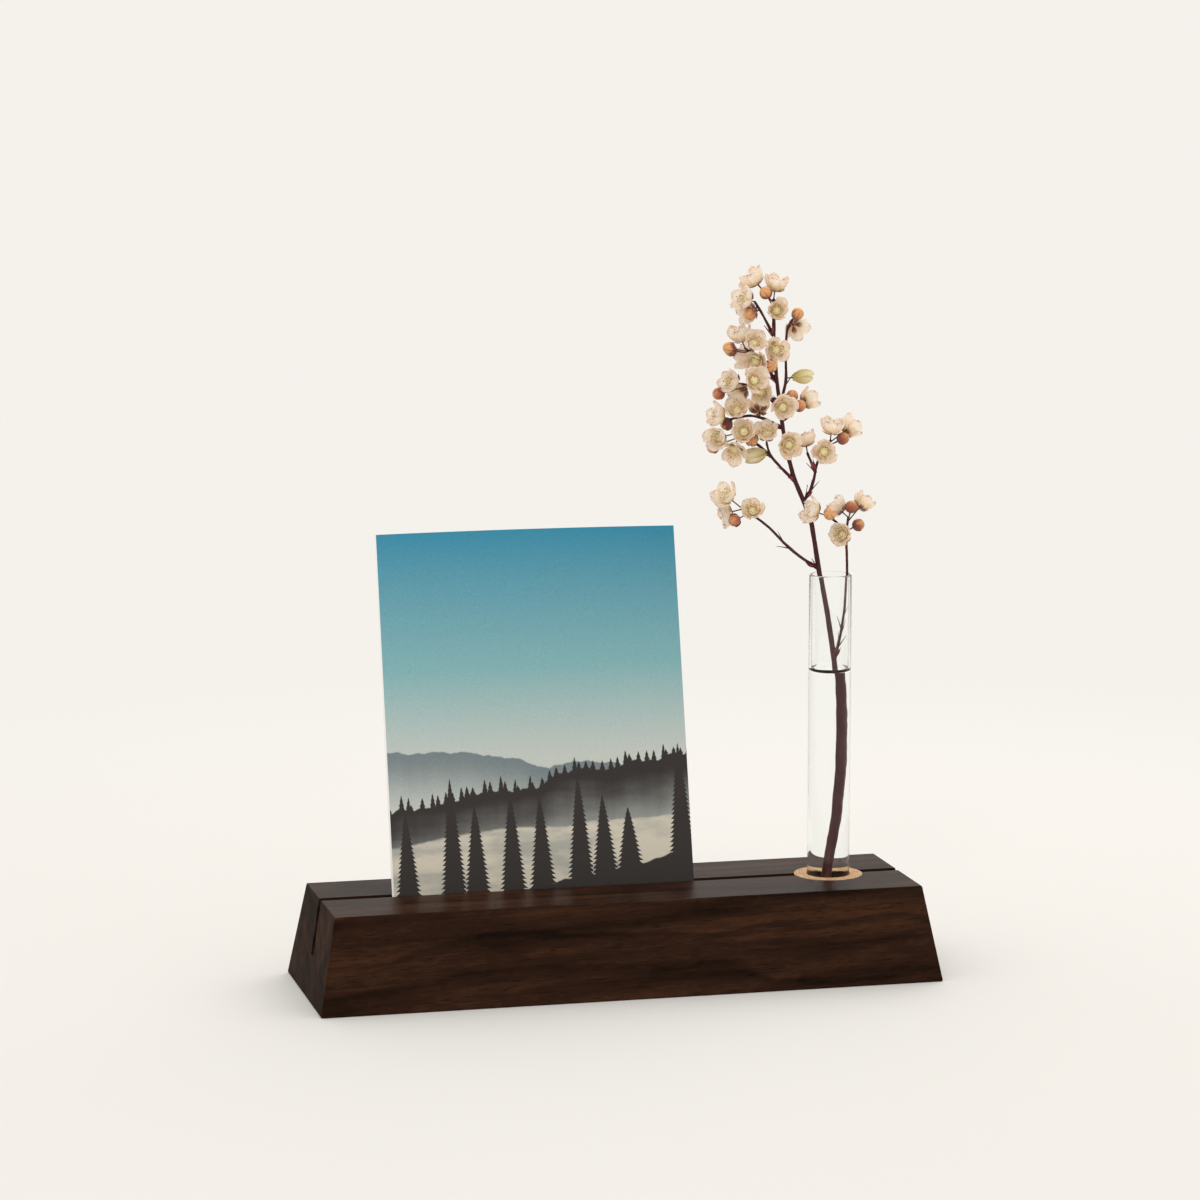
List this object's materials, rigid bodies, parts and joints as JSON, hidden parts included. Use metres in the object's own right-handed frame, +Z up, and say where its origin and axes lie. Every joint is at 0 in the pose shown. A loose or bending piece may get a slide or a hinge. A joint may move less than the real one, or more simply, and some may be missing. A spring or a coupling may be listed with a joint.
{
  "type": "wooden photo block holder",
  "caption": "Walnut block with sloping sides and a leaning slot that holds a photo print, beside a glass tube in an oak bush that holds a flowering sprig in water.",
  "frame": {"origin": "middle of the block's underside, on the surface it stands on", "axes": "+Z up, +X along the block towards the tube, -Y towards the front, where the print faces"},
  "size_m": [0.2328, 0.0722, 0.2633],
  "materials": {
    "walnut": "satin",
    "oak": "matte",
    "clear_glass": "polished",
    "water": "polished",
    "print_paper": "satin",
    "stem_bark": "matte",
    "petals": "matte",
    "green_petals": "matte",
    "bud_scales": "satin"
  },
  "bodies": {
    "holder": {"walnut_block": "walnut", "oak_bush": "oak"},
    "print": {"photo_print": "print_paper"},
    "tube": {"glass_tube": "clear_glass", "water": "water"},
    "sprig": {"bells_twig_left": "green_petals", "bells_twig_top_right": "green_petals", "blossoms_main_stem": "petals", "blossoms_twig_fork": "petals", "blossoms_twig_fork_left": "petals", "blossoms_twig_left": "petals", "blossoms_twig_left_high": "petals", "blossoms_twig_left_middle": "petals", "blossoms_twig_left_spur": "petals", "blossoms_twig_left_upper": "petals", "blossoms_twig_lower_left": "petals", "blossoms_twig_right": "petals", "blossoms_twig_right_high": "petals", "blossoms_twig_right_spur": "petals", "blossoms_twig_top_left": "petals", "blossoms_twig_top_right": "petals", "buds_main_stem": "bud_scales", "buds_twig_fork": "bud_scales", "buds_twig_fork_left": "bud_scales", "buds_twig_left_high": "bud_scales", "buds_twig_left_middle": "bud_scales", "buds_twig_left_spur": "bud_scales", "buds_twig_left_upper": "bud_scales", "buds_twig_lower_left": "bud_scales", "buds_twig_right": "bud_scales", "buds_twig_right_high": "bud_scales", "buds_twig_top_left": "bud_scales", "buds_twig_top_right": "bud_scales", "main_stem": "stem_bark", "twig_fork": "stem_bark", "twig_fork_left": "stem_bark", "twig_left": "stem_bark", "twig_left_high": "stem_bark", "twig_left_middle": "stem_bark", "twig_left_spur": "stem_bark", "twig_left_upper": "stem_bark", "twig_lower_left": "stem_bark", "twig_right": "stem_bark", "twig_right_high": "stem_bark", "twig_right_spur": "stem_bark", "twig_top_left": "stem_bark", "twig_top_right": "stem_bark"}
  },
  "joints": [
    {"name": "print_lift", "type": "slide", "parent": "holder", "child": "print", "axis": [0, 0.2284, 0.9736], "range_m": [0, 0.03]},
    {"name": "tube_lift", "type": "slide", "parent": "holder", "child": "tube", "axis": [0, 0, 1], "range_m": [0, 0.03]},
    {"name": "sprig_lift", "type": "slide", "parent": "tube", "child": "sprig", "axis": [0, 0, 1], "range_m": [0, 0.14], "deforming": ["water"]}
  ]
}
